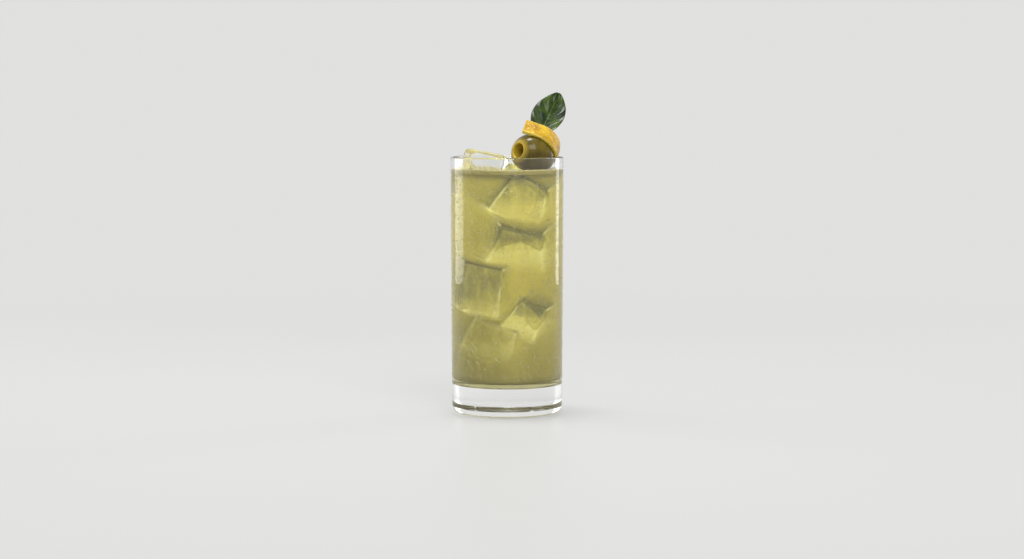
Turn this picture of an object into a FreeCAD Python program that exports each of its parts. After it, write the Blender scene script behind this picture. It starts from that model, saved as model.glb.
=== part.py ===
import FreeCAD, Part
import math
import os
import Sketcher

# A pale citrus drink on ice in a tall straight glass, dressed with a pitted green olive, a band of
# lemon peel that clasps the olive, and a basil leaf tucked behind the band.
# Sizes are millimetres and degrees.
#
# Frame: the origin is the centre of the foot, on the surface that the glass stands on.  +Z is up,
# +X points to the garnish, and the olive's open pit hole looks towards -X and -Y.
# What is in the glass is placed from the inside wall at the rim and from the drink's level, the
# band of peel from the olive, and the leaf from the band.  Pieces that press on each other meet
# face to face: the softer one gives way.

SIZES = (
    ("glass_height", 150.0, "foot to rim"),
    ("rim_radius", 33.0, "outside of the glass at the rim"),
    ("foot_radius", 32.3, "outside of the glass at the foot"),
    ("rim_wall", 1.8, "thickness of the wall at the rim"),
    ("floor_wall", 2.2, "thickness of the wall where it meets the floor"),
    ("floor_height", 16.6, "thick base: foot to the inside floor"),
    ("floor_rounding", 5.0, "rounding between the inside floor and wall"),
    ("heel_rounding", 4.5, "rounding between the outside wall and the foot"),
    ("rim_rounding_share", 0.45, "rounding of each rim edge, as a share of the rim's wall"),
    ("resting_ring", 2.3, "width of the flat ring that the glass stands on"),
    ("punt_depth", 1.2, "shallow dome under the foot"),
    ("headspace", 8.6, "rim down to the drink's surface"),
    ("ice_width", 26.0, "ice cube, across"),
    ("ice_depth", 21.0, "ice cube, front to back"),
    ("ice_length", 27.0, "ice cube, along its draft"),
    ("ice_draft", 2.5, "slope of an ice cube's sides"),
    ("ice_rounding", 3.2, "melted edges of an ice cube"),
    ("left_ice_inset", 17.3, "left cube's centre from the inside wall"),
    ("left_ice_back", 5.0, "left cube's centre behind the middle"),
    ("left_ice_sink", 2.0, "left cube's centre below the drink's surface"),
    ("left_ice_yaw", 22.0, "left cube's turn"),
    ("left_ice_pitch", 10.0, "left cube's lean to the right"),
    ("left_ice_roll", 6.0, "left cube's lean to the back"),
    ("middle_ice_inset", 26.8, "middle cube's centre from the inside wall on the right"),
    ("middle_ice_front", -13.5, "middle cube's centre before the middle"),
    ("middle_ice_sink", 12.5, "middle cube's centre below the drink's surface"),
    ("middle_ice_yaw", 30.0, "middle cube's turn"),
    ("middle_ice_pitch", 28.0, "middle cube's lean to the right"),
    ("middle_ice_roll", 26.0, "middle cube's lean to the front"),
    ("olive_length", 27.5, "olive, end to end"),
    ("olive_diameter", 23.6, "olive, across its belly"),
    ("olive_belly", 13.0, "blunt end to the widest place"),
    ("olive_inset", 15.9, "olive's centre from the inside wall"),
    ("olive_front", -4.0, "olive's centre before the middle"),
    ("olive_dip", 1.7, "how far the olive dips into the drink"),
    ("olive_yaw", 43.0, "turn of the olive's axis"),
    ("olive_pitch", 11.0, "lean of the olive's axis"),
    ("pit_radius", 4.2, "pit hole"),
    ("pit_end", 7.5, "end of the pit hole from the olive's far end"),
    ("pit_exit_radius", 1.6, "small hole at the olive's far end"),
    ("pit_shoulder", 3.0, "cone between the pit hole and the small one"),
    ("pit_lip", 0.7, "rounding of the pit hole's mouth"),
    ("peel_press", 0.5, "how far the ring of peel presses into the olive's belly"),
    ("peel_width", 10.2, "band of peel, across"),
    ("peel_thickness", 2.2, "band of peel, rind and pith"),
    ("peel_crown", 0.5, "bulge of the rind across the band"),
    ("peel_wrap", 125, "angle of the tight part of the band"),
    ("peel_flare_radius", 120, "bend of the loose end"),
    ("peel_flare_angle", 5.1, "angle of the loose end"),
    ("peel_offset", 6.6, "ring's centre from the olive's centre, along the ring's axis"),
    ("peel_yaw", -108, "turn of the ring's axis"),
    ("peel_pitch", 38.5, "dip of the ring's axis"),
    ("peel_roll", -62, "where round the ring the band starts"),
    ("leaf_length", 36.0, "basil leaf's blade"),
    ("leaf_half_width", 10.6, "midrib to the widest edge"),
    ("leaf_thickness", 0.5, "blade of the leaf"),
    ("leaf_fold", 24.0, "how far each half folds forward from flat"),
    ("leaf_arch", 2.6, "how far the midrib bows"),
    ("leaf_quilting", 0.55, "bulge of the blade between its side veins"),
    ("leaf_yaw", -13, "turn of the leaf"),
    ("leaf_pitch", 16.8, "lean of the leaf to the right"),
    ("leaf_roll", -42.0, "lean of the leaf to the back"),
    ("leaf_tuck", 2.4, "foot of the blade, along the ring's axis from the band's upper edge"),
    ("leaf_seat_angle", 137, "where round the ring the leaf stands"),
    ("leaf_seat_reach", 6.0, "the leaf's foot from the ring's axis"),
)

VEIN_PAIRS = 4
VEIN_SWEEP = 0.3
LEAF_CUP = 0.45
EDGE_THINNING = 0.6
LEAF_FOOT = 0.02
LEAF_TIP = 0.985
WIDTH_RISE, WIDTH_FALL = 0.85, 0.88
ROWS_ALONG_LEAF = 21
POINTS_ACROSS_HALF = 6

LEVEL = "(Sizes.glass_height - Sizes.headspace)"
FLOOR_EDGE = "(Sizes.foot_radius - Sizes.floor_wall)"
RIM_EDGE = "(Sizes.rim_radius - Sizes.rim_wall)"
WALL_SLOPE = f"(({RIM_EDGE} - {FLOOR_EDGE}) / (Sizes.glass_height - Sizes.floor_height))"
LEVEL_EDGE = f"({FLOOR_EDGE} + {WALL_SLOPE} * ({LEVEL} - Sizes.floor_height))"
PUNT_EDGE = "(Sizes.foot_radius - Sizes.heel_rounding - Sizes.resting_ring)"
PEEL_INSIDE = "(Sizes.olive_diameter / 2 - Sizes.peel_press)"
PEEL_OUTSIDE = f"({PEEL_INSIDE} + Sizes.peel_thickness)"
SAME_PLACE = 0.001
WHOLE_TURN = 360.0
QUARTER_TURN = 90.0
H_AXIS = -1
V_AXIS = -2
START, END, CENTRE = 1, 2, 3

doc = FreeCAD.newDocument("iced_drink")


def make_sheet():
    """Write the driving dimensions, one row each, and give each value its name."""
    sheet = doc.addObject("Spreadsheet::Sheet", "Sizes")
    for row, (name, value, note) in enumerate(SIZES, start=1):
        sheet.set(f"A{row}", name)
        sheet.set(f"B{row}", str(value))
        sheet.setAlias(f"B{row}", name)
        sheet.set(f"C{row}", note)
    doc.recompute()
    return sheet


def size(expression):
    """The number that an expression in the sheet's names comes to."""
    return float(sizes.evalExpression(expression))


def new_body(label):
    body = doc.addObject("PartDesign::Body", label)
    body.Label = label
    return body


def new_sketch(body, name, role):
    """A sketch on one of the body's own origin planes."""
    plane = next(item for item in body.Origin.OriginFeatures if item.Role == role)
    sketch = body.newObject("Sketcher::SketchObject", name)
    sketch.AttachmentSupport = [(plane, "")]
    sketch.MapMode = "FlatFace"
    return sketch


def hold(sketch, edge, end, across, up):
    """Tie one end of an edge to its distances across and up from the sketch's origin."""
    for kind, text, axis in (("DistanceX", across, V_AXIS), ("DistanceY", up, H_AXIS)):
        if text == "0":
            sketch.addConstraint(Sketcher.Constraint("PointOnObject", edge, end, axis))
        elif text:
            rule = Sketcher.Constraint(kind, H_AXIS, START, edge, end, size(text))
            number = sketch.addConstraint(rule)
            sketch.setExpression(f"Constraints[{number}]", text)


def chain(sketch, corners, closed=True):
    """Draw straight edges through the corners, each held by its two expressions."""
    places = [FreeCAD.Vector(size(across), size(up), 0) for across, up in corners]
    stops = places[1:] + places[:1] if closed else places[1:]
    first = sketch.GeometryCount
    for start, stop in zip(places, stops):
        sketch.addGeometry(Part.LineSegment(start, stop), False)
    for edge in range(first + 1, first + len(stops)):
        sketch.addConstraint(Sketcher.Constraint("Coincident", edge - 1, END, edge, START))
    if closed:
        last = first + len(stops) - 1
        sketch.addConstraint(Sketcher.Constraint("Coincident", last, END, first, START))
    for edge, (across, up) in enumerate(corners[:len(stops)], start=first):
        hold(sketch, edge, START, across, up)
    if not closed:
        hold(sketch, first + len(stops) - 1, END, *corners[-1])
    return first


def add_arc(sketch, centre, radius, from_angle, to_angle):
    circle = Part.Circle(FreeCAD.Vector(centre[0], centre[1], 0), FreeCAD.Vector(0, 0, 1), radius)
    return sketch.addGeometry(Part.ArcOfCircle(circle, from_angle, to_angle), False)


def revolve(body, kind, name, sketch, axis):
    turn = body.newObject(f"PartDesign::{kind}", name)
    turn.Profile = sketch
    turn.ReferenceAxis = (sketch, [axis])
    turn.Angle = WHOLE_TURN
    sketch.Visibility = False
    doc.recompute()
    return turn


def ring_edges(shape, axis_place, radius):
    """The circular edges at one place along the body's axis with one radius."""
    found = []
    for number, edge in enumerate(shape.Edges, start=1):
        if not isinstance(edge.Curve, Part.Circle):
            continue
        same_radius = abs(edge.Curve.Radius - radius) < SAME_PLACE
        if same_radius and edge.Curve.Center.distanceToPoint(axis_place) < SAME_PLACE:
            found.append(f"Edge{number}")
    return found


def round_edges(body, name, base, edges, radius):
    rounding = body.newObject("PartDesign::Fillet", name)
    rounding.Base = (base, edges)
    rounding.setExpression("Radius", radius)
    doc.recompute()
    return rounding


def place(piece, where, turn, shift=("0", "0", "0")):
    """Bind a piece's place: its reference point, its turn, and that point's place in the piece."""
    text = f"placement(vector({'; '.join(where)}); rotation({'; '.join(turn)}))"
    back = "; ".join(f"0 - {item}" for item in shift)
    piece.setExpression("Placement", f"{text} * placement(vector({back}); rotation(0; 0; 0))")


def make_glass():
    """A straight tumbler: thin wall with a slight taper, thick base, rounded heel and rim."""
    body = new_body("glass")
    profile = new_sketch(body, "glass_profile", "XZ_Plane")
    chain(profile, (
        ("0", "0"),
        ("Sizes.foot_radius", "0"),
        ("Sizes.rim_radius", "Sizes.glass_height"),
        (RIM_EDGE, "Sizes.glass_height"),
        (FLOOR_EDGE, "Sizes.floor_height"),
        ("0", "Sizes.floor_height"),
    ))
    wall = revolve(body, "Revolution", "glass_wall", profile, "V_Axis")
    heel = ring_edges(wall.Shape, FreeCAD.Vector(0, 0, 0), size("Sizes.foot_radius"))
    wall = round_edges(body, "glass_heel", wall, heel, "Sizes.heel_rounding")
    floor_place = FreeCAD.Vector(0, 0, size("Sizes.floor_height"))
    corner = ring_edges(wall.Shape, floor_place, size(FLOOR_EDGE))
    wall = round_edges(body, "glass_floor_corner", wall, corner, "Sizes.floor_rounding")
    rim_place = FreeCAD.Vector(0, 0, size("Sizes.glass_height"))
    rim = ring_edges(wall.Shape, rim_place, size("Sizes.rim_radius"))
    rim += ring_edges(wall.Shape, rim_place, size(RIM_EDGE))
    round_edges(body, "glass_rim", wall, rim, "Sizes.rim_wall * Sizes.rim_rounding_share")
    cut_punt(body)
    return body


def cut_punt(body):
    """Hollow the foot to a shallow dome, which leaves the resting ring."""
    profile = new_sketch(body, "punt_profile", "XZ_Plane")
    reach = size(PUNT_EDGE)
    depth = size("Sizes.punt_depth")
    dome_radius = (reach ** 2 + depth ** 2) / (2 * depth)
    chain(profile, (("0", "Sizes.punt_depth"), ("0", "0"), (PUNT_EDGE, "0")), closed=False)
    dome_start = math.atan2(dome_radius - depth, reach)
    dome = add_arc(profile, (0, depth - dome_radius), dome_radius, dome_start, math.pi / 2)
    profile.addConstraint(Sketcher.Constraint("Coincident", dome, START, 1, END))
    profile.addConstraint(Sketcher.Constraint("Coincident", dome, END, 0, START))
    profile.addConstraint(Sketcher.Constraint("PointOnObject", dome, CENTRE, V_AXIS))
    revolve(body, "Groove", "glass_punt", profile, "V_Axis")


def make_ice_cube(label, where, turn):
    """A moulded cube with drafted sides and melted edges, placed by its centre."""
    body = new_body(label)
    outline = new_sketch(body, f"{label}_outline", "XY_Plane")
    chain(outline, (
        ("0", "0"),
        ("Sizes.ice_width", "0"),
        ("Sizes.ice_width", "Sizes.ice_depth"),
        ("0", "Sizes.ice_depth"),
    ))
    block = body.newObject("PartDesign::Pad", f"{label}_block")
    block.Profile = outline
    block.setExpression("Length", "Sizes.ice_length")
    block.setExpression("TaperAngle", "0 - Sizes.ice_draft")
    outline.Visibility = False
    doc.recompute()
    every_edge = [f"Edge{number}" for number in range(1, len(block.Shape.Edges) + 1)]
    round_edges(body, f"{label}_melt", block, every_edge, "Sizes.ice_rounding")
    middle = ("Sizes.ice_width / 2", "Sizes.ice_depth / 2", "Sizes.ice_length / 2")
    place(body, where, turn, middle)
    return body


def make_olive():
    """An egg shape: two half ellipsoids that meet at the belly, blunt where the pit was pushed out."""
    body = new_body("olive")
    add_olive_half(body, "olive_front", "Sizes.olive_belly", (-QUARTER_TURN, 0))
    back_reach = "Sizes.olive_length - Sizes.olive_belly"
    flesh = add_olive_half(body, "olive_back", back_reach, (0, QUARTER_TURN))
    bore_olive(body, flesh)
    where = (f"{RIM_EDGE} - Sizes.olive_inset", "Sizes.olive_front",
             f"{LEVEL} + Sizes.olive_diameter / 2 - Sizes.olive_dip")
    place(body, where, ("Sizes.olive_yaw", "Sizes.olive_pitch", "0"),
          ("Sizes.olive_length / 2", "0", "0"))
    return body


def add_olive_half(body, name, reach, latitudes):
    """Half an ellipsoid about the body's X axis, with its flat side at the belly."""
    plane = next(item for item in body.Origin.OriginFeatures if item.Role == "YZ_Plane")
    half = body.newObject("PartDesign::AdditiveEllipsoid", name)
    half.AttachmentSupport = [(plane, "")]
    half.MapMode = "FlatFace"
    half.setExpression("AttachmentOffset.Base.z", "Sizes.olive_belly")
    half.setExpression("Radius1", reach)
    half.setExpression("Radius2", "Sizes.olive_diameter / 2")
    half.setExpression("Radius3", "Sizes.olive_diameter / 2")
    half.Angle1, half.Angle2 = latitudes
    doc.recompute()
    return half


def bore_olive(body, flesh):
    """Cut the pit's hole from the blunt end, down to the small hole at the far end."""
    profile = new_sketch(body, "pit_profile", "XZ_Plane")
    pit_floor = "(Sizes.olive_length - Sizes.pit_end)"
    chain(profile, (
        ("0", "0"),
        ("Sizes.olive_length", "0"),
        ("Sizes.olive_length", "Sizes.pit_exit_radius"),
        (f"{pit_floor} + Sizes.pit_shoulder", "Sizes.pit_exit_radius"),
        (pit_floor, "Sizes.pit_radius"),
        ("0", "Sizes.pit_radius"),
    ))
    hole = revolve(body, "Groove", "pit_hole", profile, "H_Axis")
    narrowing = size("Sizes.pit_radius / (Sizes.olive_diameter / 2)")
    mouth = size("Sizes.olive_belly") * (1 - math.sqrt(1 - narrowing ** 2))
    round_edges(body, "pit_mouth", hole, cross_edges(hole.Shape, mouth), "Sizes.pit_lip")


def cross_edges(shape, along):
    """The edges that lie square across the body's X axis at one place along it."""
    found = []
    for number, edge in enumerate(shape.Edges, start=1):
        if all(abs(corner.X - along) < SAME_PLACE for corner in edge.Vertexes):
            found.append(f"Edge{number}")
    return found


def make_peel_band():
    """A band cut square across: an arc round the olive that opens at its loose end."""
    body = new_body("peel_band")
    section = new_sketch(body, "peel_section", "XY_Plane")
    width = size("Sizes.peel_width")
    crown = size("Sizes.peel_crown")
    outside = size(PEEL_OUTSIDE)
    crown_text = "(Sizes.peel_width ^ 2 / 4 + Sizes.peel_crown ^ 2) / (2 * Sizes.peel_crown)"
    crown_radius = size(crown_text)
    chain(section, (
        ("0", PEEL_OUTSIDE),
        ("0", PEEL_INSIDE),
        ("Sizes.peel_width", PEEL_INSIDE),
        ("Sizes.peel_width", PEEL_OUTSIDE),
    ), closed=False)
    lean = math.asin(width / 2 / crown_radius)
    rind = add_arc(section, (width / 2, outside + crown - crown_radius), crown_radius,
                   math.pi / 2 - lean, math.pi / 2 + lean)
    section.addConstraint(Sketcher.Constraint("Coincident", rind, START, 2, END))
    section.addConstraint(Sketcher.Constraint("Coincident", rind, END, 0, START))
    number = section.addConstraint(Sketcher.Constraint("Radius", rind, crown_radius))
    section.setExpression(f"Constraints[{number}]", crown_text)
    route = draw_peel_route(body)
    band = body.newObject("PartDesign::AdditivePipe", "peel_sweep")
    band.Profile = section
    band.Spine = (route, ["Edge1", "Edge2"])
    section.Visibility = False
    route.Visibility = False
    doc.recompute()
    body.setExpression("Placement", peel_place())
    doc.recompute()
    return body


def seat(soft, firm, label):
    """Press one piece against another: what would pass into the firm piece is taken away."""
    seated = doc.addObject("Part::Cut", label)
    seated.Label = label
    seated.Base = soft
    seated.Tool = firm
    doc.recompute()
    return seated


def draw_peel_route(body):
    """Two tangent arcs: the tight wrap round the ring's centre, then the wider flare."""
    route = new_sketch(body, "peel_route", "YZ_Plane")
    wrap = math.radians(size("Sizes.peel_wrap"))
    flare = math.radians(size("Sizes.peel_flare_angle"))
    inside = size(PEEL_INSIDE)
    flare_radius = size("Sizes.peel_flare_radius")
    offset = inside - flare_radius
    tight = add_arc(route, (0, 0), inside, 0, wrap)
    flare_centre = (offset * math.cos(wrap), offset * math.sin(wrap))
    loose = add_arc(route, flare_centre, flare_radius, wrap, wrap + flare)
    route.addConstraint(Sketcher.Constraint("Coincident", tight, CENTRE, H_AXIS, START))
    hold(route, tight, START, PEEL_INSIDE, "0")
    hold(route, tight, END, f"{PEEL_INSIDE} * cos(Sizes.peel_wrap * 1 deg)", "")
    route.addConstraint(Sketcher.Constraint("Tangent", tight, END, loose, START))
    turn = "((Sizes.peel_wrap + Sizes.peel_flare_angle) * 1 deg)"
    centre_reach = f"({PEEL_INSIDE} - Sizes.peel_flare_radius)"
    for_cos = f"{centre_reach} * cos(Sizes.peel_wrap * 1 deg) + Sizes.peel_flare_radius * cos({turn})"
    for_sin = f"{centre_reach} * sin(Sizes.peel_wrap * 1 deg) + Sizes.peel_flare_radius * sin({turn})"
    hold(route, loose, END, for_cos, for_sin)
    return route


def peel_place():
    """The ring's place: off the olive's centre along its own axis, turned by its own angles."""
    olive_centre = (f"vector({RIM_EDGE} - Sizes.olive_inset; Sizes.olive_front; "
                    f"{LEVEL} + Sizes.olive_diameter / 2 - Sizes.olive_dip)")
    turn = "rotation(Sizes.peel_yaw; Sizes.peel_pitch; Sizes.peel_roll)"
    back = "vector(0 - Sizes.peel_offset - Sizes.peel_width / 2; 0; 0)"
    return f"placement({olive_centre}; {turn}) * placement({back}; rotation(0; 0; 0))"


def leaf_width_share(along):
    """Half width of an ovate blade, 1 where it is widest and 0 at both its ends."""
    peak = WIDTH_RISE / (WIDTH_RISE + WIDTH_FALL)
    return (along / peak) ** WIDTH_RISE * ((1 - along) / (1 - peak)) ** WIDTH_FALL


def bulge(share):
    """A smooth bow over a length: 0 at both ends and 1 in the middle."""
    return 4 * share * (1 - share)


def leaf_point(along, across, side, skin):
    """A point of one half: along from foot to tip, across from the midrib to the edge."""
    reach = size("Sizes.leaf_half_width") * leaf_width_share(along) * across
    fold = math.radians(size("Sizes.leaf_fold"))
    bow = size("Sizes.leaf_arch") * bulge(along)
    veins = math.sin(math.pi * VEIN_PAIRS * (along - VEIN_SWEEP * across)) ** 2
    quilting = size("Sizes.leaf_quilting") * veins * bulge(across)
    forward = reach * math.sin(fold) * (1 - LEAF_CUP * across) + quilting
    thickness = size("Sizes.leaf_thickness") * (1 - EDGE_THINNING * max(across, along))
    depth = bow - forward + skin * thickness / 2
    return FreeCAD.Vector(side * reach * math.cos(fold), depth, size("Sizes.leaf_length") * along)


def leaf_half(side, skin):
    """One side of one half of the blade, as a smooth surface through rows of points."""
    rows = []
    for row in range(ROWS_ALONG_LEAF):
        along = LEAF_FOOT + (LEAF_TIP - LEAF_FOOT) * row / (ROWS_ALONG_LEAF - 1)
        steps = [step / (POINTS_ACROSS_HALF - 1) for step in range(POINTS_ACROSS_HALF)]
        rows.append([leaf_point(along, across, side, skin) for across in steps])
    surface = Part.BSplineSurface()
    surface.interpolate(rows)
    return surface


def make_leaf(band):
    """A basil leaf: folded along its midrib, quilted between its veins, closed all round."""
    faces = []
    for side in (-1, 1):
        front = leaf_half(side, -1)
        back = leaf_half(side, 1)
        faces += [front.toShape(), back.toShape()]
        for low, high in ((front.uIso(0), back.uIso(0)), (front.uIso(1), back.uIso(1)),
                          (front.vIso(1), back.vIso(1))):
            faces.append(Part.makeRuledSurface(low.toShape(), high.toShape()))
    shell = Part.makeShell(faces)
    shell.sewShape()
    leaf = doc.addObject("Part::Feature", "leaf_blade")
    leaf.Shape = Part.makeSolid(Part.Shell(shell.Faces))
    leaf.Placement = leaf_place(band)
    return leaf


def leaf_place(band):
    """The blade's foot lies inside the ring of peel, on the olive's far shoulder."""
    angle = math.radians(size("Sizes.leaf_seat_angle"))
    reach = size("Sizes.leaf_seat_reach")
    foot = FreeCAD.Vector(size("Sizes.leaf_tuck"), reach * math.cos(angle), reach * math.sin(angle))
    turn = FreeCAD.Rotation(size("Sizes.leaf_yaw"), size("Sizes.leaf_pitch"), size("Sizes.leaf_roll"))
    return FreeCAD.Placement(band.Placement.multVec(foot), turn)


def make_drink(sunk):
    """The drink: it fills the glass up to its level and is cut round what dips into it."""
    body = new_body("drink_fill")
    profile = new_sketch(body, "drink_profile", "XZ_Plane")
    chain(profile, (
        ("0", "Sizes.floor_height"),
        (FLOOR_EDGE, "Sizes.floor_height"),
        (LEVEL_EDGE, LEVEL),
        ("0", LEVEL),
    ))
    fill = revolve(body, "Revolution", "drink_full", profile, "V_Axis")
    floor_place = FreeCAD.Vector(0, 0, size("Sizes.floor_height"))
    corner = ring_edges(fill.Shape, floor_place, size(FLOOR_EDGE))
    round_edges(body, "drink_corner", fill, corner, "Sizes.floor_rounding")
    dipped = doc.addObject("Part::MultiFuse", "dipped_pieces")
    dipped.Shapes = sunk
    drink = doc.addObject("Part::Cut", "drink")
    drink.Label = "drink"
    drink.Base = body
    drink.Tool = dipped
    doc.recompute()
    return drink


def check_document():
    """Stop if any object of the document failed to build."""
    for item in doc.Objects:
        if "Invalid" in item.State or "Error" in item.State:
            raise RuntimeError(f"{item.Label} failed to build: {item.State}")


def check_piece(piece):
    """Stop unless the piece is one valid solid."""
    shape = piece.Shape
    if shape.isNull() or not shape.isValid() or len(shape.Solids) != 1:
        raise RuntimeError(f"{piece.Label} is not one valid solid")


sizes = make_sheet()
glass = make_glass()
olive = make_olive()
left_cube = make_ice_cube(
    "left_cube",
    (f"0 - {RIM_EDGE} + Sizes.left_ice_inset", "Sizes.left_ice_back", f"{LEVEL} - Sizes.left_ice_sink"),
    ("Sizes.left_ice_yaw", "Sizes.left_ice_pitch", "Sizes.left_ice_roll"))
middle_cube = make_ice_cube(
    "middle_cube",
    (f"{RIM_EDGE} - Sizes.middle_ice_inset", "Sizes.middle_ice_front",
     f"{LEVEL} - Sizes.middle_ice_sink"),
    ("Sizes.middle_ice_yaw", "Sizes.middle_ice_pitch", "Sizes.middle_ice_roll"))
left_ice = seat(left_cube, glass, "ice_cube_left")
middle_ice = seat(middle_cube, olive, "ice_cube_middle")
band = make_peel_band()
peel = seat(band, olive, "lemon_peel")
leaf = seat(make_leaf(band), olive, "basil_leaf")
drink = make_drink([left_ice, middle_ice, olive])
doc.recompute()

PIECES = (glass, drink, left_ice, middle_ice, olive, peel, leaf)
check_document()
for piece in PIECES:
    check_piece(piece)
os.makedirs("parts", exist_ok=True)
for piece in PIECES:
    piece.Shape.exportStep(f"parts/{piece.Label}.step")
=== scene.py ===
import math

import bmesh
import bpy
import numpy as np
from mathutils import Euler, Matrix, Vector, noise


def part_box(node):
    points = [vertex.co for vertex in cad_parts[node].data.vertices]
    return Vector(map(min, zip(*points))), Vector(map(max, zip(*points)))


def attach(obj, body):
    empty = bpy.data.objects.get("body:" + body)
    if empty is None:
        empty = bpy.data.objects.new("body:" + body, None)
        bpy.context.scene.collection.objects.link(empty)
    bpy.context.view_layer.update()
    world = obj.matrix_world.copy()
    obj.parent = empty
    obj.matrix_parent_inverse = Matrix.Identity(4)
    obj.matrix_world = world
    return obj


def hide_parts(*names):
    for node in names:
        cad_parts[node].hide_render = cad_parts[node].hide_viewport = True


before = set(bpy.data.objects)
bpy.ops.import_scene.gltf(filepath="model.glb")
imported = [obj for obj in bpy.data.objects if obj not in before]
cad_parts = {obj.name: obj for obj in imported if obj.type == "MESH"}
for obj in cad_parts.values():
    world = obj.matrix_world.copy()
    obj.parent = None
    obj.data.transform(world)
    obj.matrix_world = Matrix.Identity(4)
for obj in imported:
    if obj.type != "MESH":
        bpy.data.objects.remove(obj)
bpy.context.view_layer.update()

# A cloudy citrus drink on ice in a straight glass, dressed with a pitted olive, a band of lemon
# peel and a basil leaf.  Lengths are metres, in the part's own frame: the foot stands on z = 0
# and the garnish leans towards +X.
#
# The clear liquid reaches just into the glass wall.  A cloudy body stands inside it, a little off
# the wall.  Straight looks into that body find the ice blocks that lie behind its skin, and three
# attributes carry what they meet, so that ice near the wall shows clearly and deep ice doesn't.
# Two of them are painted light: shade and light on the blocks' faces from a fixed daylight, and
# glints along their edges.

MM = 0.001
BODY = "root"

# --- sizes that follow the frame ---
GLASS_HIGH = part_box("glass")[1]
DRINK_LOW, DRINK_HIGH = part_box("drink")
OLIVE_LOW, OLIVE_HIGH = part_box("olive")
OLIVE_CENTRE = (OLIVE_LOW + OLIVE_HIGH) / 2
# the drink's level and its radius there, the floor under it, and the radius of the rim
LEVEL = DRINK_HIGH.z
LEVEL_RADIUS = DRINK_HIGH.x
FLOOR = DRINK_LOW.z
RIM_RADIUS = GLASS_HIGH.x

# --- sizes of the glass that a box doesn't give ---
FOOT_RADIUS = 32.3 * MM
FLOOR_RADIUS = 30.1 * MM
FLOOR_ROUNDING = 5.0 * MM
INTO_WALL = 0.12 * MM

# --- how finely meshes are built, and what counts as nothing ---
ROUND_STEPS = 160
FLOOR_ROUNDING_STEPS = 8
WALL_ROWS = 40
MENISCUS_STEPS = 8
WELD_DISTANCE = 0.001 * MM
SOFTENING = 0.5
TINY = 1e-9

# --- the drink ---
MENISCUS_RISE = 0.7 * MM
MENISCUS_REACH = 2.6 * MM
ICE_INTO_DRINK = 0.1 * MM
CLOUD_INSET = 3.0 * MM
CLOUD_ABOVE_FLOOR = 1.5 * MM
CLOUD_BELOW_LEVEL = 1.6 * MM
CLOUD_DENT = 1.6 * MM
CLOUD_COLUMNS = 360
CLOUD_ROWS = 220
CLOUD_RINGS = 46

# --- the looks into the cloud that find the ice ---
# painted shade and light on a block: a mean, plus painted light on its far face from the daylight,
# less painted shade on a top face
LOOKS = 9
LOOK_SPREAD = 0.12
LOOK_SEED = 4
LOOK_FADE = 6.0 * MM
FARTHEST_LOOK = 1.0
FAINTEST = 1e-6
THICK_ICE = 7.0 * MM
DAYLIGHT_FROM = (0.25, -0.15, 0.95)
PAINTED_SHADING_MEAN = 0.55
PAINTED_LIGHT_ON_FAR_FACE = 0.6
PAINTED_SHADE_ON_TOP_FACE = 0.75
# where a painted glint along an edge starts and is full, as shares of the way from a face's middle
# to its edge
PAINTED_GLINT_BAND = (0.86, 0.98)
# how strong the painted glint is where a look enters a block and where it leaves
NEAR_EDGE_GLINT, FAR_EDGE_GLINT = 1.0, 0.6

# --- ice ---
ICE_VOXEL = 0.7 * MM
ICE_SMOOTHING = 3
ICE_MELT = 0.35 * MM
MELT_SCALE = 130
MELT_SHIFT = (0.37, 0.61, 0.13)
ICE_ROUNDING = 3.4 * MM
ICE_OFF_WALL = 0.7 * MM
# the tables of blocks are in millimetres and degrees
# node of the part, centre, size along the block's own axes, (yaw, pitch, roll)
TOP_ICE = (
    ("ice_cube_left", (-13.9, 5.0, 139.4), (26, 21, 27), (22, 10, 6)),
    ("ice_cube_middle", (4.4, -13.5, 128.9), (26, 21, 27), (30, 28, 26)),
)
# name, centre, size along the block's own axes, (yaw, pitch, roll)
SUNK_ICE = (
    ("front_high", (3.8, -14.6, 101.8), (28, 21, 23), (20, 12, 30)),
    ("left_middle", (-11.2, -12.6, 75.5), (27, 20, 29), (-26, 9, 12)),
    ("right_low", (9.6, -15.6, 58.6), (18, 18, 20), (14, 32, 24)),
    ("front_low", (-4.5, -9.4, 47.5), (23, 19, 21), (-16, 24, 20)),
    ("back_high", (12.5, 12.5, 119.0), (22, 21, 24), (42, -10, 12)),
    ("back_middle", (-9.5, 14.0, 100.0), (24, 20, 23), (30, 10, -14)),
    ("back_low", (9.5, 14.0, 74.0), (22, 20, 24), (-38, 22, 10)),
)
ALL_ICE = [block[1:] for block in TOP_ICE + SUNK_ICE]

# --- froth, bubbles and dew ---
FROTH_THICKNESS = 1.5 * MM
FROTH_TOP = 0.5 * MM
FROTH_TAPER = 3.0 * MM
FROTH_HANG = 0.5 * MM
# how the froth climbs the wall: pairs of a distance from it and a height over the froth's top
FROTH_CLIMB = ((0.0, 1.5 * MM), (0.8 * MM, 1.2 * MM), (2.4 * MM, 0.0))
FROTH_OFF_ICE = 0.05 * MM
FROTH_VOXEL = 0.35 * MM
FROTH_SMOOTHING = 2
FROTH_SCALE = 700
FROTH_UNEVENNESS = 0.22 * MM
OPEN_WATER = 25.0 * MM
OPEN_WATER_REACH = 4.0 * MM
SHORE_SCALE = 90
SHORE_UNEVENNESS = 0.14
BEAD_SEGMENTS, BEAD_RINGS = 6, 3
DEW_FROM = 21.0 * MM
DEW_BELOW_LEVEL = 2.0 * MM
DEW_FLATNESS = 0.6
DEW = {"Beads_per_square_metre": 310000.0, "Smallest_radius": 0.17 * MM,
       "Largest_radius": 0.5 * MM, "Most_are_small": 2.2, "Seed": 7}
FIZZ_ABOVE_FLOOR = 6.0 * MM
FIZZ_BELOW_LEVEL = 3.0 * MM
FIZZ_OFF_WALL = 0.5 * MM
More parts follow.
